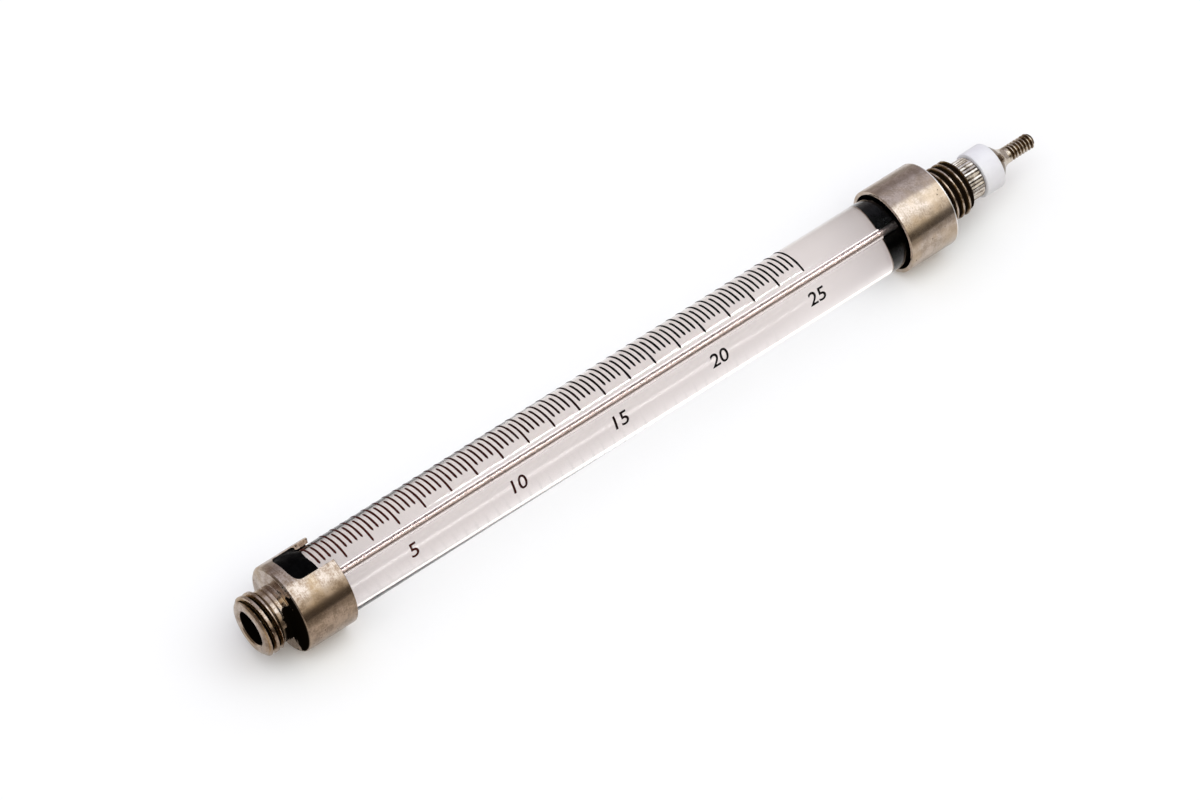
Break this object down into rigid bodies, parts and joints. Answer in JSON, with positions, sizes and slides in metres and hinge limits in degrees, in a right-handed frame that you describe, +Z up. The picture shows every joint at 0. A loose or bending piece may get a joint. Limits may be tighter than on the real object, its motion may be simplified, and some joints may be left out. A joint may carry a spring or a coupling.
{
  "type": "microsyringe",
  "caption": "Thick-walled glass barrel with a fine bore and a printed scale between two threaded metal end caps, with a sliding wire plunger ending in a threaded stud.",
  "frame": {"origin": "on the barrel's axis, at the middle of the front thread", "axes": "+X along the barrel from the nose towards the plunger stud, +Z up when the syringe lies on its two collars, with the scale turned 14 degrees from the top towards +Y"},
  "size_m": [0.0983, 0.0094, 0.0094],
  "materials": {
    "clear_glass": "clear polished borosilicate tube",
    "plated_brass": "satin nickel plate on turned brass, slightly tarnished",
    "thread_brass": "turned, bright crests and dark roots",
    "plunger_steel": "drawn and polished steel wire",
    "knurl_steel": "bright straight knurl",
    "white_ptfe": "smooth milky white",
    "black_adhesive": "cured black epoxy, uneven edge",
    "black_seal": "matt black seal",
    "scale_ink": "fired dark red-brown ink"
  },
  "bodies": {
    "barrel": {"glass_barrel": "clear_glass", "front_cap": "plated_brass", "face_seal": "black_seal", "front_adhesive": "black_adhesive", "rear_collar": "plated_brass", "rear_adhesive": "black_adhesive", "scale_marks": "scale_ink"},
    "bushing": {"ptfe_bushing": "white_ptfe"},
    "plunger": {"plunger_wire": "plunger_steel", "knurled_ring": "knurl_steel", "plunger_stud": "thread_brass"}
  },
  "joints": [
    {"name": "plunger_slide", "type": "slide", "parent": "barrel", "child": "bushing", "axis": [1, 0, 0], "range_m": [0, 0.0625]},
    {"name": "plunger_turn", "type": "hinge", "parent": "bushing", "child": "plunger", "pos_m": [0.0904, 0, 0], "axis": [1, 0, 0], "continuous": true}
  ]
}
